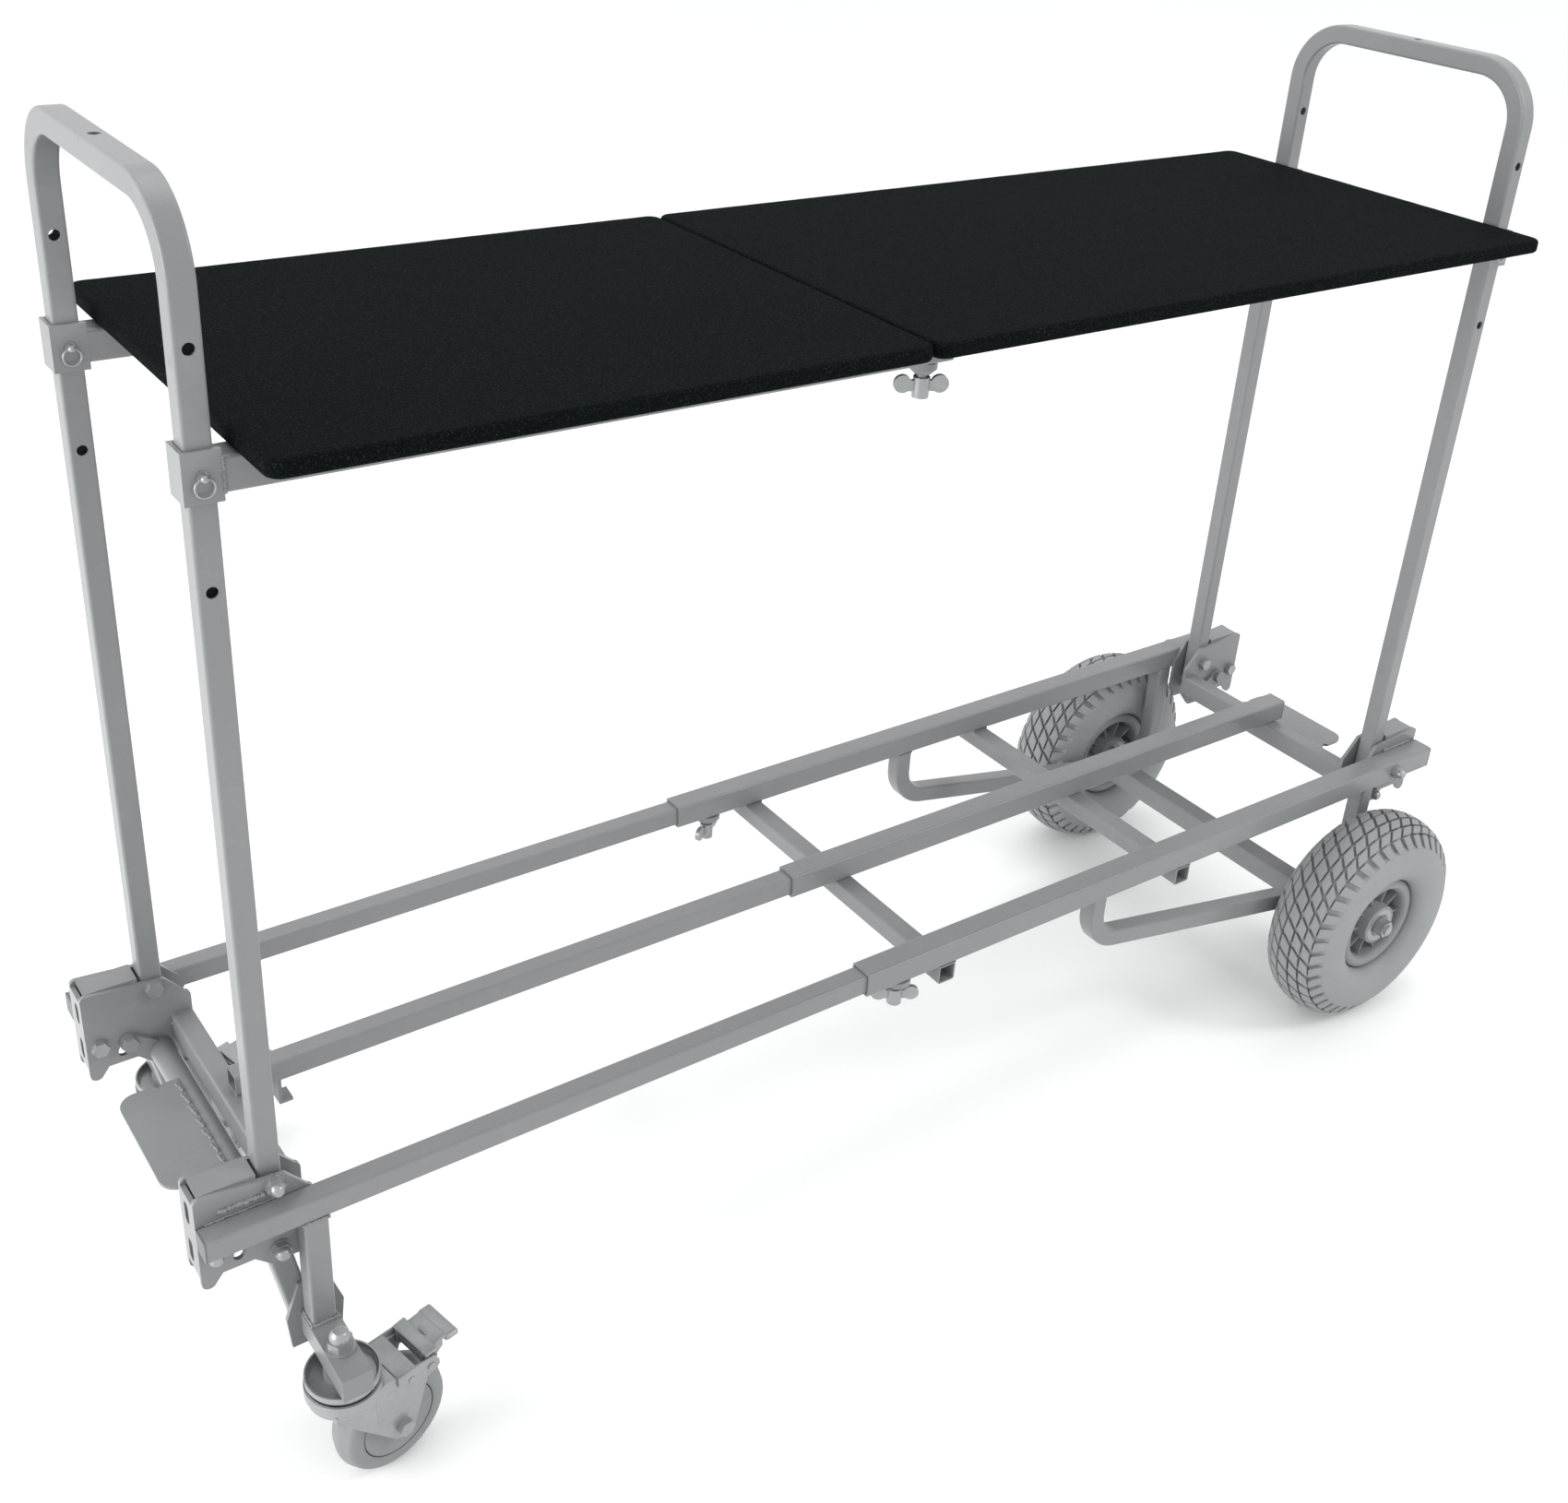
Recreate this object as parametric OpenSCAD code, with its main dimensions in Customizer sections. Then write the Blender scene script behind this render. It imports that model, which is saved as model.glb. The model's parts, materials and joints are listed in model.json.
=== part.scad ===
// Telescoping equipment cart with a folding carpeted shelf.
// +Z is up, +X runs from the caster end to the big-wheel end, Y is across.
// The origin is on the floor, midway between the two handles.

/* [Overall] */
// Distance between the two handles' post centres, along X
post_span = 1324; // [1200:1:1600]
// Distance between the two posts of one handle, centre to centre
post_pitch = 274; // [240:1:320]
// Height of the handles' top face over the floor
handle_top = 1055; // [1000:1:1300]
// How far the frame reaches past the post centres at each end
end_reach = 62; // [56:1:80]

/* [Tubes] */
// Side of the square outer rails and outer shelf arms
outer_tube = 25; // [24:0.5:32]
// Wall of the outer tubes
outer_wall = 2; // [1.5:0.1:2.5]
// Gap between a sliding inner tube and its outer tube, each side
slide_gap = 0.5; // [0.4:0.1:1]
// Wall of all other square tubes
thin_wall = 1.5; // [1.2:0.1:2]
// Side of the square handle tube, cross bars and wheel loops
post_tube = 19; // [16:0.5:22]
// Outer corner radius of the square tubes
tube_corner = 2.5; // [2:0.1:3]
// Centre-line bend radius of the handles' top corners
handle_bend = 52; // [40:1:80]

/* [Base] */
// Gap between a handle post and the wheel-end bracket plate outside it
post_gap = 1.5; // [0.5:0.1:3]
// Height of the rails' centre line
rail_z = 274; // [270:1:300]
// Where the outer rails start, from the caster-end post centre
side_joint = 558; // [500:1:620]
// Where the outer middle rail starts, from the caster-end post centre
middle_joint = 589; // [520:1:650]
// Length of inner rail that stays inside the outer rail when extended
rail_overlap = 150; // [120:1:200]
// Travel of the telescoping base that is modelled
base_travel = 288; // [200:1:288]
// First cross bar's centre, from the caster-end post centre
cross_bar_in = 655; // [640:1:700]
// Second cross bar's centre, back from the wheel-end post centre
cross_bar_back = 346; // [300:1:420]

/* [Big wheels] */
// Outer diameter of the big wheels
wheel_d = 254; // [240:1:256]
// Width of the tyres
tyre_w = 84; // [70:1:86]
// Distance between the big wheels' centre planes
wheel_track = 434; // [430:1:480]
// Axle's distance back from the wheel-end post centre
axle_back = 69.6; // [60:0.1:90]
// Radius of the rims' outer lips
rim_r = 57; // [54:0.5:60]
// Radius of the axle bolts
axle_r = 6; // [5:0.5:8]
// Length of the wheel hubs
hub_len = 62; // [58:0.5:70]
// Wheel loop's first leg, back from the wheel-end post centre
loop_start_back = 459; // [430:1:480]
// Wheel loop's last leg, back from the wheel-end post centre
loop_end_back = 35; // [32:1:36]
// Centre-line bend radius of the wheel loops
loop_bend = 40; // [35:1:45]
// Downward slope of the loops' long run, in degrees
loop_slope = 11.3; // [9:0.1:13]

/* [Casters] */
// Diameter of the caster wheels
caster_d = 101.6; // [96:0.1:102]
// Width of the caster wheels
caster_w = 32; // [28:0.5:34]
// Distance between the two swivel axes
caster_track = 410; // [400:1:440]
// Swivel axis, inboard of the caster-end post centre
caster_in = 24; // [20:1:30]
// Height of the caster's top face over its wheel
caster_rise = 31.4; // [31.4:0.1:38]
// Distance from the swivel axis to the wheel axle
caster_trail = 40; // [36:0.5:42]
// Angle that the casters stand at, in degrees
caster_yaw = 12; // [0:1:30]
// Radius of the caster's swivel race
race_r = 31; // [28:0.5:34]

/* [Shelf] */
// Gap from the caster-end post centre to the shelf
shelf_gap = 21.8; // [20:0.1:30]
// Length of the short shelf panel
short_panel = 520.8; // [450:0.1:540]
// Gap from the wheel-end post centre to the shelf
shelf_gap_far = 16.8; // [16:0.1:30]
// Width of the shelf
shelf_w = 409; // [360:1:460]
// Thickness of the carpeted shelf boards
shelf_t = 13.5; // [10:0.5:20]
// Height of the shelf's top face over the floor
shelf_top = 902; // [880:1:905]
// Gap between the two panels at the seam
seam_gap = 0.6; // [0.4:0.1:2]
// Corner radius of the shelf in plan
shelf_corner = 12; // [6:1:30]
// How far the shelf bolts lie under the shelf's top face
shelf_bolt_drop = 25; // [25:1:40]
// Distance between rows of shelf bolt holes
hole_step = 81; // [70:1:90]
// End of the outer shelf arms, from the caster-end post centre
arm_end = 606; // [580:1:640]
// Length of inner shelf arm inside the outer arm when extended
arm_overlap = 126; // [100:1:160]

/* [Brackets and pedals] */
// Thickness of the end brackets' plates
plate_t = 4; // [3:0.5:4]
// Height of the caster-end handle's pivot bolt over the rails
pivot_rise = 24; // [20:1:26]
// Top of the caster-end brackets over the rails
bracket_rise = 36; // [34:1:42]
// Top of the wheel-end brackets over the rails
bracket_rise_far = 28; // [26:1:32]
// How far the foot pedals' pivot lies under the rails
pedal_drop = 42; // [41:1:44]
// Outer radius of the pedals' round tube
pedal_tube_r = 11; // [10:0.5:11]
// Length of the pedal plates along Y
pedal_len = 126; // [100:1:160]
// How far the pedal plates reach past the post centres
pedal_reach = 58; // [50:1:60]
// Angle that a pressed pedal turns through, in degrees
pedal_travel = 20; // [15:1:22]
// Radius of the M8 bolts
bolt_r = 4; // [3:0.5:4]

/* [Hidden] */
$fn = 48;

grey = [0.62, 0.64, 0.65];
zinc = [0.72, 0.73, 0.74];
dark = [0.32, 0.33, 0.34];
black = [0.1, 0.11, 0.12];
carpet = [0.12, 0.14, 0.15];

// Clearances
run_gap = 0.1;      // a shaft turning in its bore, radial
thread_gap = 0.05;  // a nut or boss on its own thread, radial
face_gap = 0.3;     // faces of two bodies that pass each other
hole_gap = 0.2;     // a fixed bolt in its hole, radial

post_l = -post_span / 2;
post_r = post_span / 2;
post_y = post_pitch / 2;
rail_y = post_y + post_tube / 2 + post_gap + plate_t + outer_tube / 2;
inner_tube = outer_tube - 2 * outer_wall - 2 * slide_gap;
rail_under = rail_z - outer_tube / 2;
inner_under = rail_z - inner_tube / 2;
wheel_y = wheel_track / 2;
wheel_r = wheel_d / 2;
axle_x = post_r - axle_back;

// The wheel-end handle pivots on the rail's centre line, below the other one
pivot_z = rail_z + pivot_rise;
pivot_z_far = rail_z;
bracket_top = rail_z + bracket_rise;
bracket_top_far = rail_z + bracket_rise_far;
pedal_z = rail_z - pedal_drop;
plug_t = 1.5;
plug_depth = 12;

// Bracket plates: the inner one hugs the post, the outer one meets the rail
inner_plate_y = post_y - post_tube / 2 - 0.5 - plate_t;
caster_plate_y = rail_y - inner_tube / 2;
wheel_plate_y = rail_y - outer_tube / 2;
ear_in = 31;
bracket_low = rail_z - 55;
bracket_step = rail_z - 44;
post_foot = rail_z - 30;
web_in = 12;

lock_pin_u = 27;
lock_pin_z = pedal_z + 19;
stop_u = 51;
stop_z = pedal_z + 22;
lock_r = norm([lock_pin_u, lock_pin_z - pedal_z]);
lock_a = atan2(lock_pin_z - pedal_z, lock_pin_u);
lever_t = 4;
lever_y = inner_plate_y - face_gap - lever_t;
member_in = 12;
member_low = rail_z - 37;
pedal_t = 3;

arm_top = shelf_top - shelf_t - face_gap;
arm_z = arm_top - outer_tube / 2;
seam_x = post_l + shelf_gap + short_panel + seam_gap / 2;
shelf_bolt_z = shelf_top - shelf_bolt_drop;

screw_r = 4;
rail_boss_at = side_joint + 44;
arm_boss_at = arm_end - 21;
boss_h = 10.5;

caster_x = post_l + caster_in;
caster_y = caster_track / 2;
caster_r = caster_d / 2;
caster_h = caster_d + caster_rise;
caster_rim = caster_r - 12.8;
leg_w = inner_tube;
stub_w = 25;
stub_h = 22;
stub_end = caster_y + 33;
stub_top = caster_h + stub_h;
gusset_t = 4;
kingpin_r = 6;
crown_z = caster_d + 4.4;
crown_t = 4;
race_top = crown_z + 15.5;
fork_gap = 2.5;
fork_t = 3;
fork_in = caster_w / 2 + fork_gap;
caster_axle_r = 4;
brake_u = caster_trail + 28;
brake_z = crown_z - 7;
brake_t = 2.5;
brake_front = race_r + 5;

// ---- helpers -------------------------------------------------------

function arc_points(cx, cy, r, a0, a1, n = 8) =
    [for (i = [0:n]) let (a = a0 + (a1 - a0) * i / n)
        [cx + r * cos(a), cy + r * sin(a)]];

module rounded_square(side, r) {
    square([side - 2 * r, side], center = true);
    square([side, side - 2 * r], center = true);
    for (x = [-1, 1], y = [-1, 1])
        translate([x, y] * (side / 2 - r)) circle(r);
}

module rounded_rect(w, h, r) {
    translate([r, 0]) square([w - 2 * r, h]);
    translate([0, r]) square([w, h - 2 * r]);
    for (x = [r, w - r], y = [r, h - r]) translate([x, y]) circle(r);
}

module tube_profile(side, wall, r = tube_corner) {
    difference() {
        rounded_square(side, r);
        rounded_square(side - 2 * wall, max(r - wall, 0.5));
    }
}

module tube_x(len, side, wall) {
    rotate([90, 0, 90]) linear_extrude(len) tube_profile(side, wall);
}

module tube_y(len, side, wall) {
    rotate([-90, 0, 0]) linear_extrude(len) tube_profile(side, wall);
}

// A cylinder along +Y that starts at y = 0
module rod_y(r, len) {
    rotate([-90, 0, 0]) cylinder(r = r, h = len);
}

// A plate in the X-Z plane, t thick towards +Y
module plate_xz(t) {
    translate([0, t, 0]) rotate([90, 0, 0]) linear_extrude(t) children();
}

module both_sides() {
    children();
    mirror([0, 1, 0]) children();
}

// Children are drawn with +X pointing out past the end of the cart
module at_caster_end() {
    translate([post_l, 0, 0]) mirror([1, 0, 0]) children();
}

module at_wheel_end() {
    translate([post_r, 0, 0]) children();
}

module hex_y(af, len) {
    rotate([-90, 0, 0]) cylinder(r = af / sqrt(3), h = len, $fn = 6);
}

// Dome nut that opens at y = 0 and points along +Y
module dome_nut(r, af, len) {
    base = len * 0.5;
    cap = af / 2 - 0.6;
    difference() {
        union() {
            hex_y(af, base);
            rod_y(cap, len - cap * 0.8);
            translate([0, len - cap * 0.8, 0]) intersection() {
                sphere(cap);
                translate([-cap, 0, -cap]) cube([2 * cap, cap * 0.8, 2 * cap]);
            }
        }
        translate([0, -1, 0]) rod_y(r + thread_gap, base + 1);
    }
}

// Hex-head bolt along +Y, with a washer at each face and a dome nut.
// The clamped stack runs from y = 0 to y = grip.
module dome_bolt(grip, r = bolt_r, af = 13) {
    washer = 1.2;
    translate([0, -washer - 5, 0]) hex_y(af, 5);
    translate([0, -washer - 0.5, 0]) rod_y(r, grip + 2 * washer + 0.5 + af * 0.4);
    for (y = [-washer, grip]) translate([0, y, 0]) difference() {
        rod_y(r * 2, washer);
        translate([0, -1, 0]) rod_y(r + thread_gap, washer + 2);
    }
    translate([0, grip + washer, 0]) dome_nut(r, af, 11);
}

// ---- rails and cross bars ------------------------------------------

module weld_boss(top_r, height) {
    difference() {
        translate([0, 0, -height]) union() {
            translate([0, 0, height * 0.45])
                cylinder(r = top_r, h = height * 0.55);
            cylinder(r1 = top_r * 0.6, r2 = top_r, h = height * 0.45);
        }
        translate([0, 0, -height - 1])
            cylinder(r = screw_r + run_gap, h = height + 2);
    }
}

module rail_with_boss(x0, x1, boss_x) {
    difference() {
        translate([x0, 0, rail_z]) tube_x(x1 - x0, outer_tube, outer_wall);
        translate([boss_x, 0, rail_under - 1])
            cylinder(r = screw_r + run_gap, h = outer_wall + 2);
        translate([post_r, -outer_tube, pivot_z_far])
            rod_y(bolt_r + hole_gap, 2 * outer_tube);
    }
    translate([boss_x, 0, rail_under]) weld_boss(14, boss_h);
}

module outer_side_rails() {
    color(grey) both_sides() translate([0, rail_y, 0])
        rail_with_boss(post_l + side_joint, post_r + end_reach - plug_t,
            post_l + rail_boss_at);
}

module outer_middle_rail() {
    color(grey) translate([post_l + middle_joint, 0, rail_z])
        tube_x(post_span - middle_joint - 6, outer_tube, outer_wall);
}

module inner_side_rails() {
    color(grey) both_sides()
        translate([post_l - end_reach + plug_t, rail_y, rail_z])
            tube_x(end_reach - plug_t + side_joint + rail_overlap,
                inner_tube, thin_wall);
}

module inner_middle_rail() {
    start = 22;
    tab_x = 58;
    color(grey) {
        translate([post_l + start, 0, rail_z])
            tube_x(middle_joint + rail_overlap - start, inner_tube, thin_wall);
        translate([post_l + tab_x, -8, inner_under - 26])
            cube([3, 16, 26]);
        translate([post_l + tab_x, -8, inner_under - 26])
            cube([12, 16, 3]);
    }
}

module plug(side, wall) {
    fit = side - 2 * wall - 0.2;
    rotate([90, 0, 90]) {
        linear_extrude(plug_t) rounded_square(side, tube_corner);
        translate([0, 0, -plug_depth]) linear_extrude(plug_depth)
            rounded_square(fit, 0.8);
    }
}

module rail_plugs_wheel_end() {
    color(dark) {
        both_sides() translate([post_r + end_reach - plug_t, rail_y, rail_z])
            plug(outer_tube, outer_wall);
        translate([post_r - 6, 0, rail_z]) plug(outer_tube, outer_wall);
    }
}

module rail_plugs_caster_end() {
    color(dark) both_sides()
        translate([post_l - end_reach + plug_t, rail_y, rail_z])
            mirror([1, 0, 0]) plug(inner_tube, thin_wall);
}

// A square tube between the brackets, right under the middle rail
module cross_member(top) {
    member_h = top - member_low;
    translate([-ear_in, -inner_plate_y, member_low])
        rotate([-90, 0, 0]) mirror([0, 1, 0])
            linear_extrude(2 * inner_plate_y) difference() {
                rounded_rect(ear_in - member_in, member_h, tube_corner);
                translate([thin_wall, thin_wall])
                    rounded_rect(ear_in - member_in - 2 * thin_wall,
                        member_h - 2 * thin_wall, 1);
            }
}

module caster_end_cross_member() {
    color(grey) at_caster_end() cross_member(inner_under);
}

// Two bars under the rails, the wheel end's cross member and the low bar
// between the wheel loops
module cross_bars() {
    low_x = axle_x - 32;
    low_z = loop_z(low_x) + 3;
    color(grey) {
        for (x = [post_l + cross_bar_in, post_r - cross_bar_back])
            translate([x, -rail_y - outer_tube / 2,
                rail_under - inner_tube / 2])
                tube_y(2 * rail_y + outer_tube, inner_tube, thin_wall);
        at_wheel_end() cross_member(rail_under);
        translate([low_x, -loop_y + post_tube / 2, low_z])
            tube_y(2 * loop_y - post_tube, outer_tube, outer_wall);
    }
}

// ---- wheel loops ---------------------------------------------------

loop_y = wheel_plate_y + post_tube / 2;
loop_a = post_r - loop_start_back;
loop_b = post_r - loop_end_back;
loop_c2 = [loop_b - loop_bend,
    wheel_r + sqrt(pow(loop_bend, 2) - pow(axle_x - loop_b + loop_bend, 2))];
loop_c1 = [loop_a + loop_bend,
    loop_c2[1] + tan(loop_slope) * (loop_c2[0] - loop_a - loop_bend)];
loop_run = (loop_c2[0] - loop_c1[0]) / cos(loop_slope);

// Height of the long run's centre line at x
function loop_z(x) = loop_c1[1] - loop_bend / cos(loop_slope)
    - tan(loop_slope) * (x - loop_c1[0]);

// A bend in the X-Z plane about c, from angle a0 to a1
module bend_xz(c, r, a0, a1, side, wall) {
    translate([c[0], 0, c[1]]) rotate([90, 0, 0]) rotate([0, 0, a0])
        rotate_extrude(angle = a1 - a0, $fn = 96)
            translate([r, 0]) tube_profile(side, wall);
}

// The straight lengths lap the bends by a hair, so that each joins cleanly
module wheel_loop() {
    lap = 0.3;
    side = post_tube + 0.04;
    wall = thin_wall + 0.04;
    difference() {
        translate([0, loop_y, 0]) {
            translate([loop_a, 0, loop_c1[1] - lap])
                linear_extrude(rail_under - loop_c1[1] + lap)
                    tube_profile(side, wall);
            bend_xz(loop_c1, loop_bend, 180, 270 - loop_slope,
                post_tube, thin_wall);
            translate([loop_c1[0] - loop_bend * sin(loop_slope), 0,
                loop_c1[1] - loop_bend * cos(loop_slope)])
                rotate([0, loop_slope, 0]) translate([-lap, 0, 0])
                    tube_x(loop_run + 2 * lap, side, wall);
            bend_xz(loop_c2, loop_bend, 270 - loop_slope, 360,
                post_tube, thin_wall);
            translate([loop_b, 0, loop_c2[1] - lap])
                linear_extrude(rail_under - loop_c2[1] + lap)
                    tube_profile(side, wall);
        }
        translate([axle_x, 0, wheel_r]) rod_y(axle_r + hole_gap, wheel_y);
    }
}

module wheel_loop_near() {
    color(grey) mirror([0, 1, 0]) wheel_loop();
}

module wheel_loop_far() {
    color(grey) wheel_loop();
}

// ---- handles -------------------------------------------------------

module handle(foot, pivot) {
    top_c = handle_top - post_tube / 2;
    rise = top_c - handle_bend;
    difference() {
        union() {
            both_sides() {
                translate([0, post_y, foot]) linear_extrude(rise - foot)
                    tube_profile(post_tube, thin_wall);
                translate([0, post_y - handle_bend, rise]) rotate([0, 0, 90])
                    rotate([90, 0, 0]) rotate_extrude(angle = 90, $fn = 96)
                        translate([handle_bend, 0])
                            tube_profile(post_tube, thin_wall);
            }
            translate([0, handle_bend - post_y, top_c])
                tube_y(post_pitch - 2 * handle_bend, post_tube, thin_wall);
        }
        for (z = [pivot, shelf_bolt_z - hole_step, shelf_bolt_z,
            shelf_bolt_z + hole_step])
            translate([0, -post_y - post_tube, z])
                rod_y(bolt_r + hole_gap, post_pitch + 2 * post_tube);
        translate([0, 0, top_c - post_tube])
            cylinder(r = bolt_r + hole_gap, h = 2 * post_tube);
    }
}

module caster_end_handle() {
    color(grey) at_caster_end() handle(post_foot, pivot_z);
}

module wheel_end_handle() {
    color(grey) at_wheel_end() handle(post_foot, pivot_z_far);
}

// ---- end brackets --------------------------------------------------

module lock_slot() {
    half = bolt_r + face_gap;
    a1 = lock_a - pedal_travel;
    translate([0, pedal_z]) {
        intersection() {
            difference() {
                circle(lock_r + half);
                circle(lock_r - half);
            }
            polygon([[0, 0], 60 * [cos(a1), sin(a1)],
                60 * [cos(lock_a), sin(lock_a)]]);
        }
        for (a = [a1, lock_a])
            translate(lock_r * [cos(a), sin(a)]) circle(half);
    }
}

// Plate seen from the side: u runs outboard. ear is its inboard edge.
module bracket_plate(top, pivot, ear) {
    difference() {
        polygon(concat(
            arc_points(end_reach - 5, top - 5, 5, 0, 90),
            [[-post_tube / 2, top - 6]],
            arc_points(6 - ear, top - 32, 6, 110, 180),
            [[-ear, member_low],
             [-min(ear, 16), bracket_low], [8, bracket_low],
             [20, bracket_step], [end_reach - 17, bracket_step]],
            arc_points(end_reach - 6, bracket_low + 6, 6, 200, 360)));
        translate([0, pivot]) circle(bolt_r + hole_gap);
        translate([0, pedal_z]) circle(bolt_r + hole_gap);
        translate([stop_u, stop_z]) circle(bolt_r + hole_gap);
        lock_slot();
    }
}

module end_plate_cut(top) {
    for (z = [bracket_step + 18, top - 24])
        translate([end_reach - 10, post_y, z]) rotate([0, 90, 0]) {
            for (dz = [-6, 6]) translate([dz, 0, 0]) cylinder(r = 4.5, h = 20);
            translate([-6, -4.5, 0]) cube([12, 9, 20]);
        }
}

module bracket(top, pivot, outer_face, outer_ear) {
    translate([0, inner_plate_y, 0]) plate_xz(plate_t)
        bracket_plate(top, pivot, ear_in);
    translate([0, outer_face - plate_t, 0]) plate_xz(plate_t)
        bracket_plate(top, pivot, outer_ear);
    y0 = inner_plate_y + plate_t;
    gap = outer_face - plate_t - y0;
    translate([web_in, y0, top - plate_t])
        cube([end_reach - web_in - 5, gap, plate_t]);
    difference() {
        translate([end_reach - plate_t, y0, bracket_low + 12])
            cube([plate_t, gap, top - bracket_low - 17]);
        end_plate_cut(top);
    }
}

module caster_end_brackets() {
    color(grey) at_caster_end() both_sides()
        bracket(bracket_top, pivot_z, caster_plate_y, ear_in);
}

// The outer plates stop short of the wheel loops' last legs
module wheel_end_brackets() {
    color(grey) at_wheel_end() both_sides()
        bracket(bracket_top_far, pivot_z_far, wheel_plate_y,
            loop_end_back - post_tube / 2 - 0.5);
}

// Pivot and stop bolts of one end. reach is the pivot bolt's outer face.
module bracket_bolts(pivot, outer_face, reach) {
    both_sides() {
        translate([0, inner_plate_y, pivot])
            dome_bolt(reach - inner_plate_y);
        translate([stop_u, inner_plate_y, stop_z])
            dome_bolt(outer_face - inner_plate_y);
        translate([0, lever_y - 16, pedal_z]) {
            rod_y(bolt_r, outer_face + 6.4 - lever_y + 16);
            translate([0, outer_face - lever_y + 16, 0])
                difference() {
                    rod_y(2 * bolt_r, 1.2);
                    translate([0, -1, 0]) rod_y(bolt_r + thread_gap, 4);
                }
            translate([0, outer_face - lever_y + 17.2, 0])
                dome_nut(bolt_r, 13, 11);
        }
    }
}

module caster_end_bolts() {
    color(zinc) at_caster_end()
        bracket_bolts(pivot_z, caster_plate_y, caster_plate_y);
}

module wheel_end_bolts() {
    color(zinc) at_wheel_end()
        bracket_bolts(pivot_z_far, wheel_plate_y, rail_y + outer_tube / 2);
}

// ---- foot pedals ---------------------------------------------------

module pedal_plate() {
    inner = 5;
    w = pedal_reach - inner;
    color(grey) difference() {
        translate([inner, -pedal_len / 2, pedal_z + pedal_tube_r - pedal_t])
            linear_extrude(pedal_t) difference() {
                union() {
                    rounded_rect(w, pedal_len, 16);
                    square([w / 2, pedal_len]);
                }
                for (y = [0, pedal_len]) translate([w / 3, y])
                    rotate(45) square(6, center = true);
            }
        translate([0, -pedal_len, pedal_z]) rod_y(pedal_tube_r, 2 * pedal_len);
    }
}

module pedal_tube() {
    bush = 16;
    color(grey) difference() {
        translate([0, -lever_y, pedal_z]) rod_y(pedal_tube_r, 2 * lever_y);
        translate([0, bush - lever_y, pedal_z])
            rod_y(pedal_tube_r - 1.5, 2 * (lever_y - bush));
        translate([0, -lever_y - 1, pedal_z])
            rod_y(bolt_r + run_gap, 2 * lever_y + 2);
    }
}

module lock_lever() {
    reach = 8;
    difference() {
        union() {
            translate([0, lever_y, 0]) plate_xz(lever_t) {
                translate([0, pedal_z]) circle(pedal_tube_r);
                translate([lock_pin_u, lock_pin_z]) circle(reach);
                translate([0, pedal_z]) rotate(lock_a)
                    translate([0, -reach]) square([lock_r, 2 * reach]);
            }
            translate([lock_pin_u, lever_y - 5, lock_pin_z]) hex_y(13, 5);
            translate([lock_pin_u, lever_y, lock_pin_z])
                rod_y(bolt_r, rail_y - inner_tube / 2 + 3 - lever_y);
        }
        translate([0, lever_y - 1, pedal_z])
            rod_y(bolt_r + run_gap, lever_t + 2);
    }
}

module caster_end_pedal_plate() {
    at_caster_end() pedal_plate();
}

module caster_end_pedal_tube() {
    at_caster_end() pedal_tube();
}

module caster_end_lock_levers() {
    color(grey) at_caster_end() both_sides() lock_lever();
}

module wheel_end_pedal_plate() {
    at_wheel_end() pedal_plate();
}

module wheel_end_pedal_tube() {
    at_wheel_end() pedal_tube();
}

module wheel_end_lock_levers() {
    color(grey) at_wheel_end() both_sides() lock_lever();
}

// ---- caster legs ---------------------------------------------------

module caster_legs() {
    color(grey) both_sides()
        translate([caster_x, rail_y, stub_top])
            linear_extrude(inner_under - stub_top)
                tube_profile(leg_w, thin_wall);
}

module leg_struts() {
    side = post_tube;
    lean = 11;
    foot = [post_l + 22, stub_top - 22];
    y0 = caster_plate_y - plate_t - side / 2;
    top = pedal_z - bolt_r - 1;
    color(grey) both_sides() intersection() {
        translate([foot[0], y0, foot[1] - 20]) rotate([0, -lean, 0])
            linear_extrude(140) tube_profile(side, thin_wall);
        translate([post_l - 40, y0 - side, foot[1]])
            cube([100, 2 * side, top - foot[1]]);
    }
}

module leg_gussets() {
    half = [[21, caster_h - 14], [24, stub_top - 5], [12.5, stub_top + 29]];
    color(grey) both_sides()
        translate([caster_x, rail_y - leg_w / 2 - gusset_t, 0])
            plate_xz(gusset_t) polygon(concat(
                half, [for (i = [2:-1:0]) [-half[i][0], half[i][1]]]));
}

module caster_stubs() {
    start = rail_y - leg_w / 2;
    color(grey) both_sides() difference() {
        translate([caster_x - stub_w / 2, start, caster_h])
            cube([stub_w, stub_end - start, stub_h]);
        translate([caster_x - stub_w / 2 + 2, start - 1, caster_h + 2])
            cube([stub_w - 4, stub_end - start - 2, stub_h - 4]);
        translate([caster_x, caster_y, caster_h - 1])
            cylinder(r = kingpin_r + hole_gap, h = stub_h + 2);
    }
}

module caster_kingpins() {
    head_z = crown_z - face_gap;
    color(zinc) both_sides() translate([caster_x, caster_y, 0]) {
        translate([0, 0, head_z - 6]) cylinder(r = 8.5, h = 6, $fn = 6);
        translate([0, 0, head_z]) cylinder(r = kingpin_r,
            h = stub_top + 9 - head_z);
        translate([0, 0, stub_top]) difference() {
            cylinder(r = 12, h = 1.8);
            translate([0, 0, -1]) cylinder(r = kingpin_r + thread_gap, h = 4);
        }
        translate([0, 0, stub_top + 1.8]) rotate([90, 0, 0])
            dome_nut(kingpin_r, 18, 17);
    }
}

module caster_top_races() {
    color(zinc) both_sides() translate([caster_x, caster_y, 0])
        rotate_extrude() polygon([
            [kingpin_r + hole_gap, race_top + face_gap],
            [race_r - 3, race_top + face_gap],
            [race_r - 1, race_top + 4], [race_r - 1, race_top + 9.5],
            [race_r - 2.5, race_top + 9.5], [race_r - 2.5, race_top + 5],
            [race_r - 5, race_top + 3], [15, race_top + 3],
            [15, caster_h], [kingpin_r + hole_gap, caster_h]]);
}

// ---- casters -------------------------------------------------------

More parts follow.
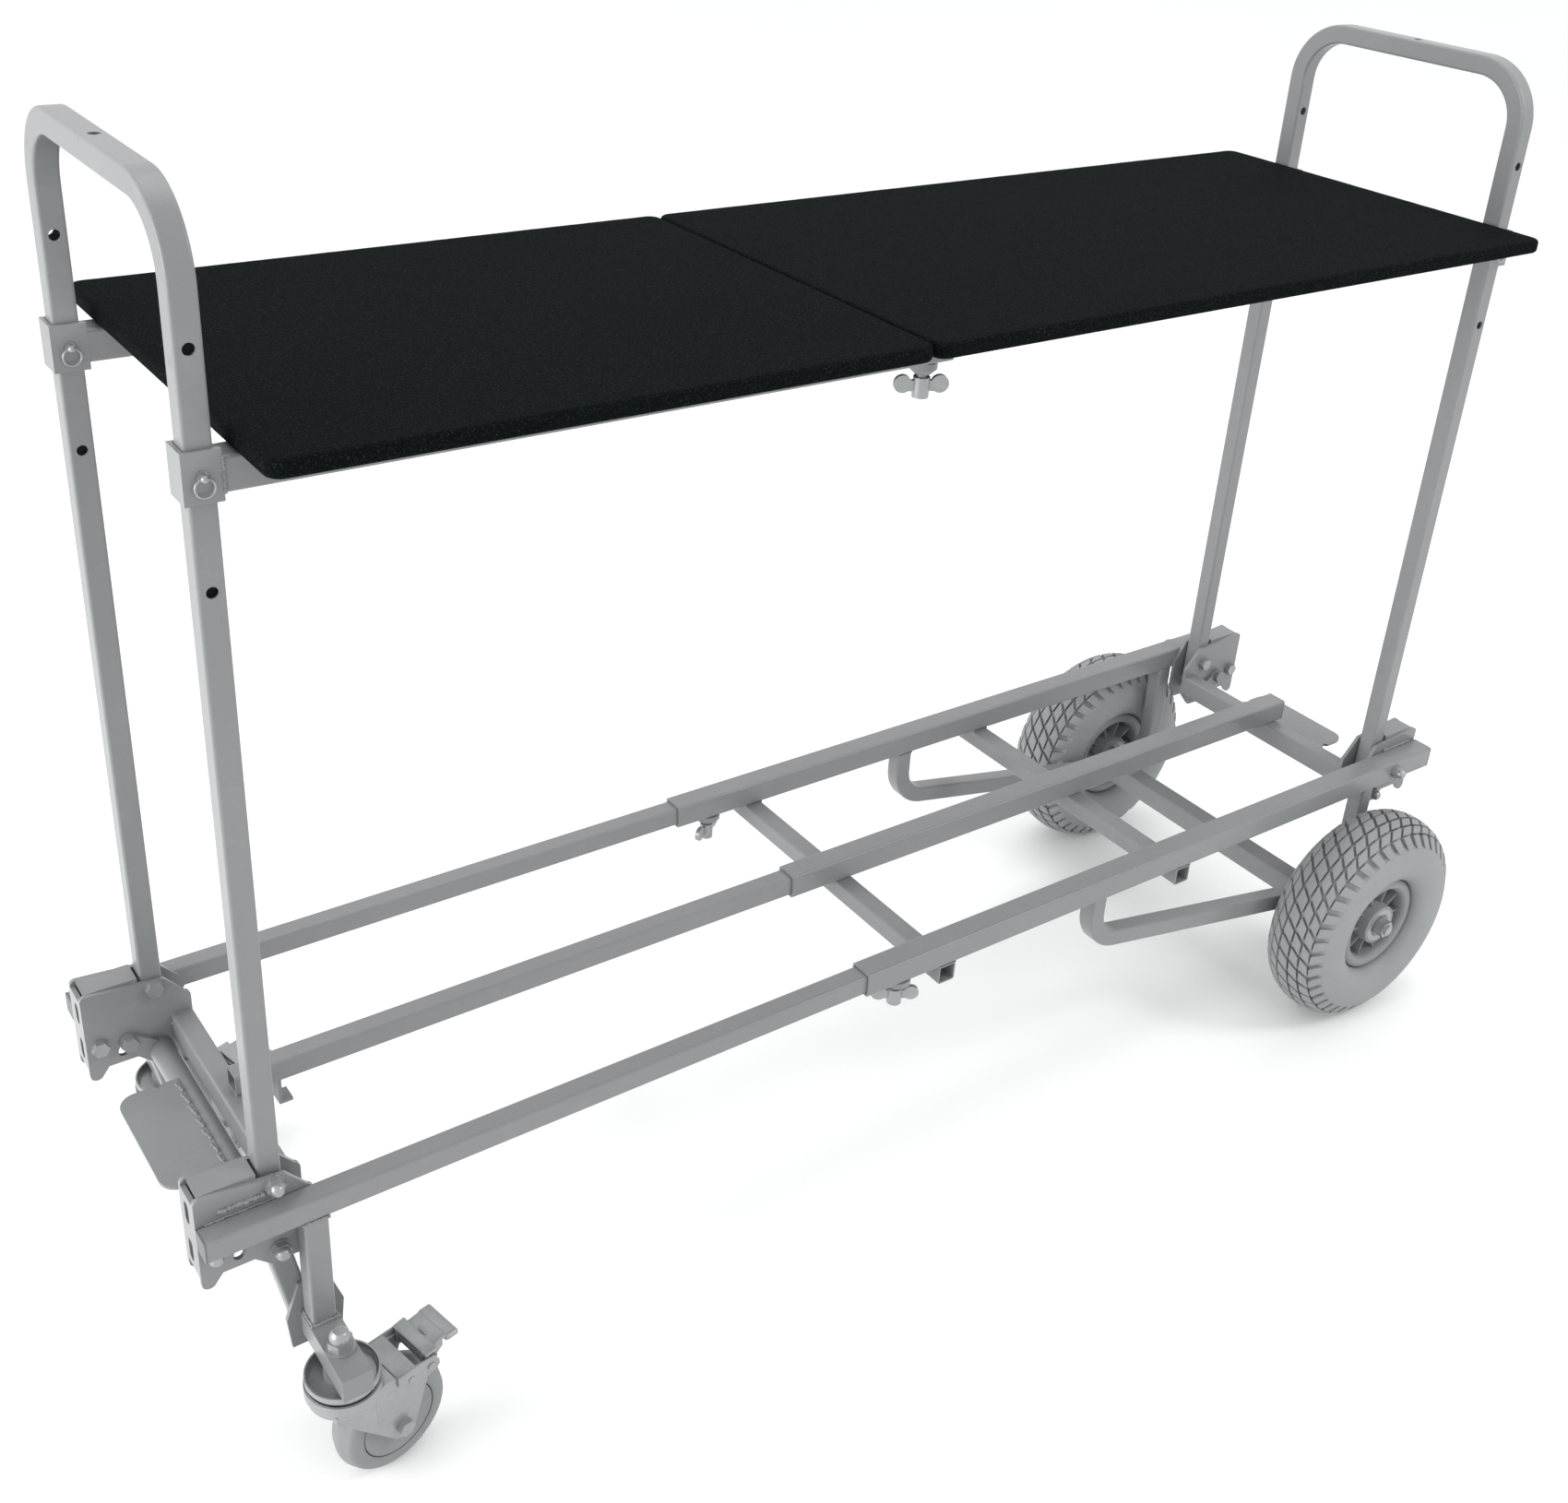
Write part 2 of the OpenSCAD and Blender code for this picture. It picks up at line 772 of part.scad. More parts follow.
// Children are drawn with +X trailing from the swivel axis
module at_caster(side) {
    translate([caster_x, side * caster_y, 0]) rotate([0, 0, caster_yaw])
        children();
}

module caster_fork() {
    inner = crown_z - 14;
    color(zinc) difference() {
        union() {
            translate([0, 0, crown_z]) cylinder(r = race_r - 2, h = crown_t);
            translate([-8, -fork_in - fork_t, crown_z])
                cube([race_r + 11, 2 * (fork_in + fork_t), crown_t]);
            rotate_extrude() polygon([
                [race_r - 9, crown_z + crown_t - 1],
                [race_r - 2, crown_z + crown_t - 1],
                [race_r, crown_z + crown_t + 2], [race_r, race_top],
                [race_r - 2, race_top], [race_r - 2, crown_z + crown_t + 4],
                [race_r - 9, crown_z + crown_t + 1]]);
            both_sides() translate([0, fork_in, 0]) plate_xz(fork_t)
                polygon(concat(
                    [[-22, crown_z + crown_t], [-22, crown_z - 3]],
                    arc_points(caster_trail, caster_r, 13, 215, 340),
                    [[caster_trail + 27, inner],
                     [caster_trail + 36, crown_z - 2],
                     [brake_front, crown_z],
                     [brake_front - 2, crown_z + crown_t]]));
        }
        translate([0, 0, crown_z - 1])
            cylinder(r = kingpin_r + run_gap, h = crown_t + 2);
        translate([caster_trail, -60, caster_r])
            rod_y(caster_axle_r + thread_gap, 120);
        translate([brake_u, -60, brake_z]) rod_y(3 + run_gap, 120);
    }
}

module caster_axle() {
    out = fork_in + fork_t;
    color(zinc) translate([caster_trail, 0, caster_r]) {
        translate([0, -out - 6, 0]) hex_y(13, 6);
        translate([0, -out - 0.5, 0])
            rod_y(caster_axle_r, 2 * out + 0.5 + 7);
        translate([0, out, 0]) difference() {
            hex_y(13, 6.5);
            translate([0, -1, 0]) rod_y(caster_axle_r + thread_gap, 9);
        }
        both_sides() translate([0, caster_w / 2 + run_gap, 0]) difference() {
            rod_y(7, fork_gap - run_gap);
            translate([0, -1, 0]) rod_y(caster_axle_r + thread_gap, 6);
        }
    }
}

// A cover over the wheel, riveted to the outside of the fork
module brake_housing() {
    side = fork_in + fork_t;
    front = brake_front;
    cover_end = brake_u - 8;
    back = brake_u + 8;
    under = crown_z + face_gap;
    color(zinc) {
        difference() {
            union() {
                translate([front, -side - brake_t, under])
                    cube([cover_end - front, 2 * (side + brake_t), brake_t]);
                both_sides() translate([0, side, 0]) plate_xz(brake_t)
                    polygon([[front, under + brake_t], [front, crown_z - 6],
                        [brake_u - 14, crown_z - 18], [back - 3, brake_z - 7],
                        [back, brake_z], [back - 6, under + brake_t]]);
            }
            translate([brake_u, -60, brake_z]) rod_y(3 + run_gap, 120);
        }
        both_sides() translate([front + 12, side + brake_t, crown_z - 7])
            rod_y(3.2, 1.5);
    }
}

// The pedal's two cheeks sit between the fork's sides, over the wheel
module brake_pedal() {
    cheek = fork_in - face_gap - brake_t;
    color(dark) {
        difference() {
            union() {
                both_sides() translate([0, cheek, 0]) plate_xz(brake_t)
                    polygon(concat(
                        arc_points(brake_u, brake_z, 5.5, 180, 290),
                        [[brake_u + 16, crown_z + 1],
                         [brake_u + 16, crown_z + 6],
                         [brake_u - 4, crown_z + 6]]));
                translate([brake_u - 4, -cheek - brake_t, crown_z + 4])
                    cube([20, 2 * (cheek + brake_t), brake_t]);
                translate([brake_u + 12, -16, crown_z + 4])
                    linear_extrude(brake_t) rounded_rect(22, 32, 7);
                translate([brake_u + 26, -16, crown_z + 3])
                    cube([3, 32, brake_t]);
            }
            translate([brake_u, -60, brake_z]) rod_y(3 - run_gap, 120);
        }
        translate([brake_u, -fork_in - fork_t - brake_t - 1, brake_z])
            rod_y(3 - run_gap, 2 * (fork_in + fork_t + brake_t + 1));
    }
}

module caster_hub() {
    rim = caster_rim;
    face = caster_w / 2;
    color(dark) translate([caster_trail, 0, caster_r]) rotate([90, 0, 0])
        rotate_extrude() polygon([
            [caster_axle_r + run_gap, -face], [12, -face],
            [14, -face + 3], [rim - 8, -face + 4], [rim - 4.5, -face + 1],
            [rim, -face + 1], [rim, face - 1], [rim - 4.5, face - 1],
            [rim - 8, face - 4], [14, face - 3], [12, face],
            [caster_axle_r + run_gap, face]]);
}

module caster_tyre() {
    edge = caster_w / 2 - 0.5;
    tread = caster_rim + 4;
    half = concat([[caster_rim, edge]], [for (a = [0:15:90])
        [tread + (caster_r - tread) * sin(a), edge - (1 - cos(a)) * 10]]);
    color(black) translate([caster_trail, 0, caster_r]) rotate([90, 0, 0])
        rotate_extrude($fn = 96)
            polygon(concat(half, reversed(flipped(half))));
}

module caster_fork_near() { at_caster(-1) caster_fork(); }
module caster_axle_near() { at_caster(-1) caster_axle(); }
module brake_housing_near() { at_caster(-1) brake_housing(); }
module brake_pedal_near() { at_caster(-1) brake_pedal(); }
module caster_hub_near() { at_caster(-1) caster_hub(); }
module caster_tyre_near() { at_caster(-1) caster_tyre(); }
module caster_fork_far() { at_caster(1) caster_fork(); }
module caster_axle_far() { at_caster(1) caster_axle(); }
module brake_housing_far() { at_caster(1) brake_housing(); }
module brake_pedal_far() { at_caster(1) brake_pedal(); }
module caster_hub_far() { at_caster(1) caster_hub(); }
module caster_tyre_far() { at_caster(1) caster_tyre(); }

// ---- big wheels ----------------------------------------------------

bead_r = rim_r - 6;
bead_w = tyre_w / 2 - 15;
tyre_wall = 6;
wall_mid = (wheel_r + rim_r) / 2 - 4;
wall_reach = (wheel_r - rim_r) / 2 - 2;
bearing_r = 20;
bearing_t = 12;

module at_wheel(side) {
    translate([axle_x, side * wheel_y, wheel_r]) rotate([90, 0, 0])
        children();
}

// Half of the tyre's section, t inside its outer face: the bead, the
// sidewall's arc, then the crowned tread
function tyre_half(t) = concat(
    [[bead_r, bead_w - t], [rim_r + 1 + t / 2, bead_w - t]],
    [for (i = [0:8]) let (a = 30 + 120 * i / 8)
        [wall_mid - (wall_reach - t) * cos(a),
         tyre_w / 2 - 7 - t + 7 * sin(a)]],
    [[wheel_r - 3 - t, tyre_w * 0.37 - t / 2],
     [wheel_r - 1 - t, tyre_w * 0.25 - t / 2],
     [wheel_r - t, tyre_w * 0.1 - t / 2]]);

function reversed(list) = [for (i = [len(list) - 1:-1:0]) list[i]];
function flipped(list) = [for (p = list) [p[0], -p[1]]];

// The tyre is open towards the rim, as a pneumatic tyre is
module tyre() {
    outside = tyre_half(0);
    inside = tyre_half(tyre_wall);
    color(black) rotate_extrude($fn = 128) polygon(concat(
        outside, reversed(flipped(outside)),
        flipped(inside), reversed(inside)));
}

module rim() {
    hub = hub_len / 2;
    barrel = rim_r - 11;
    color(dark) {
        rotate_extrude($fn = 96) polygon([
            [12, bearing_t - hub], [bearing_r, bearing_t - hub],
            [bearing_r, -hub], [bearing_r + 4, -hub], [bearing_r + 5, -3],
            [barrel - 2, -3], [barrel, 3 - bead_w], [rim_r, -bead_w - 2.5],
            [rim_r, -bead_w], [bead_r, -bead_w], [bead_r, bead_w],
            [rim_r, bead_w], [rim_r, bead_w + 2.5], [barrel, bead_w - 3],
            [barrel - 2, 3], [bearing_r + 5, 3], [bearing_r + 4, hub],
            [bearing_r, hub], [bearing_r, hub - bearing_t],
            [12, hub - bearing_t]]);
        for (i = [0:9]) rotate([0, 0, i * 36])
            translate([bearing_r + 3.5, -1.25, -21])
                cube([barrel - bearing_r - 4, 2.5, 42]);
    }
}

module wheel_bearings() {
    color(zinc) for (m = [0, 1]) mirror([0, 0, m])
        translate([0, 0, hub_len / 2 - bearing_t + 0.05]) rotate_extrude()
            polygon([[axle_r + run_gap, 0], [bearing_r - 0.05, 0],
                [bearing_r - 0.05, bearing_t - 0.05],
                [14, bearing_t - 0.05], [12, bearing_t - 2],
                [axle_r + run_gap, bearing_t - 2]]);
}

module axle_bolts() {
    hub_out = wheel_y + hub_len / 2;
    hub_in = wheel_y - hub_len / 2;
    loop_out = loop_y + post_tube / 2;
    color(zinc) both_sides() translate([axle_x, 0, wheel_r]) {
        translate([0, loop_y - post_tube / 2 - 7.5, 0]) hex_y(18, 7.5);
        translate([0, loop_y - post_tube / 2 - 1, 0])
            rod_y(axle_r, hub_out + 13 - loop_y + post_tube / 2 + 1);
        translate([0, loop_out, 0]) difference() {
            rod_y(10, hub_in - loop_out + 2 - face_gap);
            translate([0, -1, 0]) rod_y(axle_r + thread_gap, 20);
        }
        translate([0, hub_out - 2 + face_gap, 0]) difference() {
            rod_y(11, 3);
            translate([0, -1, 0]) rod_y(axle_r + thread_gap, 6);
        }
        translate([0, hub_out + 1 + face_gap, 0]) difference() {
            hex_y(18, 9);
            translate([0, -1, 0]) rod_y(axle_r + thread_gap, 12);
        }
    }
}

module tyre_near() { at_wheel(-1) tyre(); }
module rim_near() { at_wheel(-1) rim(); }
module wheel_bearings_near() { at_wheel(-1) wheel_bearings(); }
module tyre_far() { at_wheel(1) tyre(); }
module rim_far() { at_wheel(1) rim(); }
module wheel_bearings_far() { at_wheel(1) wheel_bearings(); }

// ---- shelf ---------------------------------------------------------

shelf_bracket_low = shelf_bolt_z - 18.5;
shelf_bracket_top = shelf_top - 8;
strap_t = 3;

module shelf_bracket() {
    reach = post_tube / 2 + 3.5;
    half = post_tube / 2 + 0.3;
    h = shelf_bracket_top - shelf_bracket_low;
    both_sides() translate([0, post_y, shelf_bracket_low]) difference() {
        union() {
            translate([reach - strap_t, -half - strap_t, 0])
                cube([strap_t, 2 * (half + strap_t), h]);
            for (y = [-half - strap_t, half])
                translate([-reach, y, 0]) cube([2 * reach, strap_t, h]);
        }
        translate([0, -50, shelf_bolt_z - shelf_bracket_low])
            rod_y(bolt_r + hole_gap, 100);
    }
}

module shelf_brackets_caster_end() {
    color(grey) at_caster_end() shelf_bracket();
}

module shelf_brackets_wheel_end() {
    color(grey) at_wheel_end() shelf_bracket();
}

module arm_tube(x0, x1, side, wall) {
    both_sides() translate([x0, post_y, arm_z]) tube_x(x1 - x0, side, wall);
}

arm_butt = post_tube / 2 + 3.5;

module shelf_arms_outer() {
    under = arm_z - outer_tube / 2;
    color(grey) difference() {
        union() {
            arm_tube(post_l + arm_butt, post_l + arm_end, outer_tube,
                outer_wall);
            both_sides() translate([post_l + arm_boss_at, post_y, under])
                weld_boss(12, boss_h);
        }
        both_sides() translate([post_l + arm_boss_at, post_y, under - 1])
            cylinder(r = screw_r + run_gap, h = outer_wall + 2);
    }
}

module shelf_arms_inner() {
    color(grey) arm_tube(post_l + arm_end - arm_overlap, post_r - arm_butt,
        inner_tube, thin_wall);
}

// Hangs from its top point, in the X-Z plane
module pin_ring(wire) {
    ring_r = 6.5;
    translate([0, 0, -ring_r]) rotate([90, 0, 0]) rotate_extrude()
        translate([ring_r, 0]) circle(wire);
}

// Headed pin along Y through each bracket and post. A wire ring through
// its thin tip, on the -Y side, keeps it in.
module shelf_bolts() {
    half = post_tube / 2 + 0.3 + strap_t;
    wire = 0.8;
    tip = 2.8;
    for (s = [-1, 1]) translate([0, s * post_y - half, shelf_bolt_z]) {
        difference() {
            union() {
                rod_y(bolt_r, 2 * half + 0.5);
                translate([0, 2 * half + 0.2, 0]) rod_y(bolt_r + 2.5, 3);
                translate([0, -4, 0]) rod_y(tip, 4.5);
                translate([0, -4, 0]) sphere(tip);
            }
            translate([0, -3, 0]) pin_ring(wire + run_gap);
        }
        translate([0, -3, 0]) pin_ring(wire);
    }
}

module shelf_bolts_caster_end() {
    color(zinc) translate([post_l, 0, 0]) shelf_bolts();
}

module shelf_bolts_wheel_end() {
    color(zinc) translate([post_r, 0, 0]) shelf_bolts();
}

module panel(x0, x1) {
    color(carpet) translate([x0, -shelf_w / 2, shelf_top - shelf_t])
        linear_extrude(shelf_t) rounded_rect(x1 - x0, shelf_w, shelf_corner);
}

module shelf_panel_short() {
    panel(post_l + shelf_gap, seam_x - seam_gap / 2);
}

module shelf_panel_long() {
    panel(seam_x + seam_gap / 2, post_r - shelf_gap_far);
}

// ---- wing screws ---------------------------------------------------

// Points up; z = 0 is the under side of the tube that the boss is on
module wing_screw() {
    tip = outer_wall + slide_gap - 0.2;
    hub_top = -boss_h - 3;
    hub_h = 17;
    color(zinc) {
        translate([0, 0, hub_top - 4]) cylinder(r = screw_r,
            h = tip - hub_top + 4);
        translate([0, 0, hub_top - hub_h]) difference() {
            cylinder(r = 7, h = hub_h);
            translate([0, 0, hub_h - 4]) cylinder(r = screw_r, h = 6);
        }
        for (a = [0, 180]) rotate([0, 0, a])
            translate([5.5, 2, hub_top - hub_h + 5]) rotate([90, 0, 0])
                linear_extrude(4) {
                    translate([0, 0]) square([10, 9]);
                    translate([10, 6]) circle(7.5);
                }
    }
}

module rail_screw(side) {
    translate([post_l + rail_boss_at, side * rail_y, rail_under])
        rotate([0, 0, side * 30]) wing_screw();
}

module arm_screw(side) {
    translate([post_l + arm_boss_at, side * post_y, arm_z - outer_tube / 2])
        rotate([0, 0, side * 24]) wing_screw();
}

module rail_screw_near() { rail_screw(-1); }
module rail_screw_far() { rail_screw(1); }
module arm_screw_near() { arm_screw(-1); }
module arm_screw_far() { arm_screw(1); }

// ---- assembly ------------------------------------------------------

outer_side_rails();
outer_middle_rail();
cross_bars();
wheel_loop_near();
wheel_loop_far();
wheel_end_brackets();
wheel_end_handle();
wheel_end_bolts();
axle_bolts();
shelf_brackets_wheel_end();
shelf_arms_inner();
shelf_bolts_wheel_end();
shelf_panel_long();
rail_plugs_wheel_end();
inner_side_rails();
inner_middle_rail();
caster_end_cross_member();
caster_end_brackets();
caster_end_handle();
caster_end_bolts();
caster_legs();
leg_struts();
leg_gussets();
caster_stubs();
caster_kingpins();
caster_top_races();
shelf_brackets_caster_end();
shelf_arms_outer();
shelf_bolts_caster_end();
rail_plugs_caster_end();
shelf_panel_short();
caster_end_pedal_plate();
caster_end_pedal_tube();
caster_end_lock_levers();
wheel_end_pedal_plate();
wheel_end_pedal_tube();
wheel_end_lock_levers();
caster_fork_near();
caster_axle_near();
brake_housing_near();
brake_pedal_near();
caster_hub_near();
caster_tyre_near();
caster_fork_far();
caster_axle_far();
brake_housing_far();
brake_pedal_far();
caster_hub_far();
caster_tyre_far();
tyre_near();
rim_near();
wheel_bearings_near();
tyre_far();
rim_far();
wheel_bearings_far();
rail_screw_near();
rail_screw_far();
arm_screw_near();
arm_screw_far();
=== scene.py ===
import json
import math
import random

import bmesh
import bpy
from mathutils import Matrix, Vector, noise


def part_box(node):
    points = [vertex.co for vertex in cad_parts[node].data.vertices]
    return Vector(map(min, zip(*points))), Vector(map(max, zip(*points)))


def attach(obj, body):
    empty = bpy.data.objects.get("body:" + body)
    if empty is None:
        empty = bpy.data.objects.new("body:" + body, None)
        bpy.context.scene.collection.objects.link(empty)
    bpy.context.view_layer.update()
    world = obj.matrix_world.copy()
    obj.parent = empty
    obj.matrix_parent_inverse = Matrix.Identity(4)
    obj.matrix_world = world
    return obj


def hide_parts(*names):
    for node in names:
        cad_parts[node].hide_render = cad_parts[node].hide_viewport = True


MM = 0.001
SMOOTH_ANGLE = 32

# Linear base colours
POWDER_COAT = (0.205, 0.213, 0.218)
ZINC = (0.31, 0.321, 0.327)
TYRE_GREY = (0.255, 0.264, 0.268)
RIM_GREY = (0.215, 0.223, 0.228)
CASTER_GREY = (0.225, 0.234, 0.239)
PLUG_GREY = (0.13, 0.135, 0.14)
CARPET_BLACK = (0.0024, 0.0036, 0.004)

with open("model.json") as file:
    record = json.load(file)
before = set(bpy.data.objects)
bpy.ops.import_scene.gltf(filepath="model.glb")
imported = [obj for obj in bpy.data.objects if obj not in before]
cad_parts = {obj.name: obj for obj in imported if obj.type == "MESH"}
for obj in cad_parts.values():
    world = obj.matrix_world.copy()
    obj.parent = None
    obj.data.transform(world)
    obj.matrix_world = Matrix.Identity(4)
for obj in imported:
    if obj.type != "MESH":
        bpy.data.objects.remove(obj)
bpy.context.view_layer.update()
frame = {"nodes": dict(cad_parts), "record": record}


# ---- camera, floor and lights ----------------------------------------


def add_camera():
    data = bpy.data.cameras.new("camera")
    data.lens = 41.82
    data.shift_x = -0.0109
    data.shift_y = -0.0624
    camera = bpy.data.objects.new("camera", data)
    camera.location = (-0.9918, -1.1989, 1.3257)
    turn = (62.254, -3.548, -35.571)
    camera.rotation_euler = [math.radians(angle) for angle in turn]
    bpy.context.collection.objects.link(camera)
    bpy.context.scene.camera = camera


def add_area_light(name, place, aim, size, power):
    data = bpy.data.lights.new(name, "AREA")
    data.shape = "RECTANGLE"
    data.size, data.size_y = size
    data.energy = power
    light = bpy.data.objects.new(name, data)
    light.location = place
    direction = Vector(aim) - Vector(place)
    light.rotation_euler = direction.to_track_quat("-Z", "Y").to_euler()
    bpy.context.collection.objects.link(light)


def add_studio():
    bm = bmesh.new()
    bmesh.ops.create_grid(bm, x_segments=1, y_segments=1, size=14)
    floor = new_object("floor", bm, PALE_FLOOR)
    add_area_light("key_left", (-3.4, 0.3, 1.1), (0, 0, 0.5), (2.4, 1.6), 80)
    add_area_light("top_soft", (0.2, 0.8, 3.4), (0, 0, 0.3), (3.0, 2.2), 30)
    add_area_light("edge_light", (1.9, -1.9, 2.5), (0, 0, 0.4), (0.8, 0.8), 26)
    world = bpy.data.worlds.new("studio")
    world.use_nodes = True
    background = world.node_tree.nodes["Background"]
    background.inputs["Color"].default_value = (0.995, 1.0, 1.0, 1.0)
    background.inputs["Strength"].default_value = 1.08
    bpy.context.scene.world = world
    bpy.context.scene.view_settings.view_transform = "Standard"


# ---- materials -------------------------------------------------------


class Wire:
    """One output of a shader node, which takes part in plain arithmetic."""

    def __init__(self, finish, socket):
        self.finish = finish
        self.socket = socket

    def math(self, operation, first, second):
        return self.finish.node(
            "ShaderNodeMath", {"operation": operation}, {0: first, 1: second})

    def __add__(self, other):
        return self.math("ADD", self, other)

    def __radd__(self, other):
        return self.math("ADD", other, self)

    def __sub__(self, other):
        return self.math("SUBTRACT", self, other)

    def __rsub__(self, other):
        return self.math("SUBTRACT", other, self)

    def __mul__(self, other):
        return self.math("MULTIPLY", self, other)

    def __rmul__(self, other):
        return self.math("MULTIPLY", other, self)


class Finish:
    """A material on one Principled shader, read in Object coordinates."""

    def __init__(self, name, constants):
        self.material = bpy.data.materials.new(name)
        self.material.use_nodes = True
        self.tree = self.material.node_tree
        self.shader = self.tree.nodes["Principled BSDF"]
        for socket, value in constants.items():
            self.shader.inputs[socket].default_value = value
        self.place = self.node("ShaderNodeTexCoord", {}, {}, "Object")

    def node(self, kind, settings, values, output=0):
        """Adds a node: its settings first, then its sockets' values or links."""
        made = self.tree.nodes.new(kind)
        for name, setting in settings.items():
            if name == "stops":
                self.set_stops(made.color_ramp, setting)
            else:
                setattr(made, name, setting)
        for name, value in values.items():
            if isinstance(value, Wire):
                self.tree.links.new(value.socket, made.inputs[name])
            else:
                made.inputs[name].default_value = value
        return Wire(self, made.outputs[output])

    def set_stops(self, ramp, stops):
        while len(ramp.elements) < len(stops):
            ramp.elements.new(0.5)
        for element, (place, level) in zip(ramp.elements, stops):
            element.position = place
            element.color = (level, level, level, 1)

    def noise(self, scale, detail=3.0, roughness=0.5, place=None):
        return self.node(
            "ShaderNodeTexNoise", {"normalize": True},
            {"Vector": place or self.place, "Scale": scale, "Detail": detail,
             "Roughness": roughness})

    def cells(self, scale, output="Distance"):
        return self.node(
            "ShaderNodeTexVoronoi", {}, {"Vector": self.place, "Scale": scale}, output)

    def stretched(self, scale):
        """The place with each axis scaled on its own, for brushed marks."""
        return self.node(
            "ShaderNodeMapping", {}, {"Vector": self.place, "Scale": scale})

    def ramp(self, value, *stops):
        return self.node("ShaderNodeValToRGB", {"stops": stops}, {"Fac": value})

    def blend(self, factor, first, second):
        """Mixes two colours."""
        colours = [c if isinstance(c, Wire) else (*c, 1) for c in (first, second)]
        return self.node(
            "ShaderNodeMix", {"data_type": "RGBA"},
            {0: factor, 6: colours[0], 7: colours[1]}, 2)

    def wire_up(self, **links):
        names = {
            "colour": "Base Color", "roughness": "Roughness", "metallic": "Metallic"}
        for name, wire in links.items():
            self.tree.links.new(wire.socket, self.shader.inputs[names[name]])

    def bump(self, height, strength, distance):
        normal = self.node(
            "ShaderNodeBump", {},
            {"Strength": strength, "Distance": distance, "Height": height})
        self.tree.links.new(normal.socket, self.shader.inputs["Normal"])


def shade(colour, factor):
    return tuple(channel * factor for channel in colour)


def powder_coat(name, colour):
    """Semi-gloss powder coat: orange peel, faint mottling, rubbed patches."""
    finish = Finish(name, {"IOR": 1.5})
    mottle = finish.noise(5.0, 4.0)
    grain = finish.noise(1400.0, 2.0)
    rubbed = finish.ramp(finish.noise(38.0, 5.0, 0.65), (0.52, 0.0), (0.72, 1.0))
    scuffs = finish.ramp(
        finish.noise(1.0, 3.0, 0.6, finish.stretched((900.0, 60.0, 60.0))),
        (0.66, 0.0), (0.74, 1.0))
    body = finish.blend(mottle, shade(colour, 0.9), shade(colour, 1.1))
    body = finish.blend(rubbed * 0.22, body, shade(colour, 1.28))
    body = finish.blend(scuffs * 0.16, body, shade(colour, 0.62))
    body = finish.blend(grain * 0.16, body, shade(colour, 0.7))
    peel = finish.noise(620.0, 2.0, 0.5)
    finish.wire_up(
        colour=body,
        roughness=0.25 + mottle * 0.08 + scuffs * 0.12 + peel * 0.06)
    finish.bump(peel * 0.8 + grain * 0.2, 0.22, 0.0006)
    return finish.material


def zinc_plate(name, colour):
    """Bright zinc: cloudy spangle, fine turning marks, darker flecks."""
    finish = Finish(name, {"IOR": 1.6})
    cloud = finish.noise(70.0, 4.0, 0.6)
    spangle = finish.cells(260.0, output="Color")
    tone = finish.node("ShaderNodeRGBToBW", {}, {"Color": spangle})
    brushed = finish.noise(1.0, 2.0, 0.5, finish.stretched((300.0, 300.0, 3600.0)))
    flecks = finish.ramp(finish.noise(420.0, 3.0, 0.7), (0.62, 0.0), (0.74, 1.0))
    body = finish.blend(cloud, shade(colour, 0.82), shade(colour, 1.12))
    body = finish.blend(tone * 0.25, body, shade(colour, 1.3))
    body = finish.blend(flecks * 0.3, body, shade(colour, 0.55))
    finish.wire_up(
        colour=body,
        metallic=0.55 - flecks * 0.3,
        roughness=0.24 + cloud * 0.14 + brushed * 0.08)
    finish.bump(brushed * 0.6 + flecks * 0.4, 0.12, 0.0003)
    return finish.material


def rubber(name, colour, dust):
    """Vulcanised rubber with a dusty bloom and a fine moulded grain."""
    finish = Finish(name, {"IOR": 1.48})
    cloud = finish.noise(14.0, 5.0, 0.6)
    bloom = finish.ramp(finish.noise(55.0, 6.0, 0.7), (0.4, 0.0), (0.75, 1.0))
    grain = finish.noise(1600.0, 2.0)
    body = finish.blend(cloud, shade(colour, 0.86), shade(colour, 1.1))
    body = finish.blend(bloom * dust, body, shade(colour, 1.45))
    body = finish.blend(grain * 0.2, body, shade(colour, 0.7))
    finish.wire_up(colour=body, roughness=0.48 + bloom * 0.2 + cloud * 0.08)
    finish.bump(grain, 0.2, 0.0004)
    return finish.material


def moulded_plastic(name, colour):
    """Moulded plastic with a fine spark-eroded texture and faint flow marks."""
    finish = Finish(name, {"IOR": 1.46})
    flow = finish.noise(22.0, 4.0, 0.55)
    pits = finish.cells(1500.0)
    body = finish.blend(flow, shade(colour, 0.84), shade(colour, 1.14))
    finish.wire_up(colour=body, roughness=0.4 + flow * 0.14 + pits * 0.1)
    finish.bump(pits, 0.18, 0.0003)
    return finish.material


def carpet(name, colour):
    """Short looped pile: tufts, flecked fibres and a brushed lie."""
    finish = Finish(name, {"IOR": 1.35, "Specular IOR Level": 0.06})
    lie = finish.noise(1.0, 4.0, 0.6, finish.stretched((5.0, 16.0, 16.0)))
    tufts = finish.cells(520.0)
    fibres = finish.noise(1150.0, 4.0, 0.75)
    matted = finish.noise(190.0, 4.0, 0.65)
    flecks = finish.ramp(finish.noise(640.0, 2.0, 0.8), (0.56, 0.0), (0.74, 1.0))
    body = finish.blend(lie, shade(colour, 0.7), shade(colour, 1.35))
    body = finish.blend(matted * 0.5, body, shade(colour, 0.45))
    body = finish.blend(fibres * 0.45, body, shade(colour, 2.8))
    body = finish.blend(flecks * 0.75, body, shade(colour, 13.0))
    finish.wire_up(colour=body, roughness=0.86 + fibres * 0.12)
    finish.bump(tufts * 0.4 + fibres * 0.7 + matted * 0.6, 0.75, 0.0016)
    return finish.material


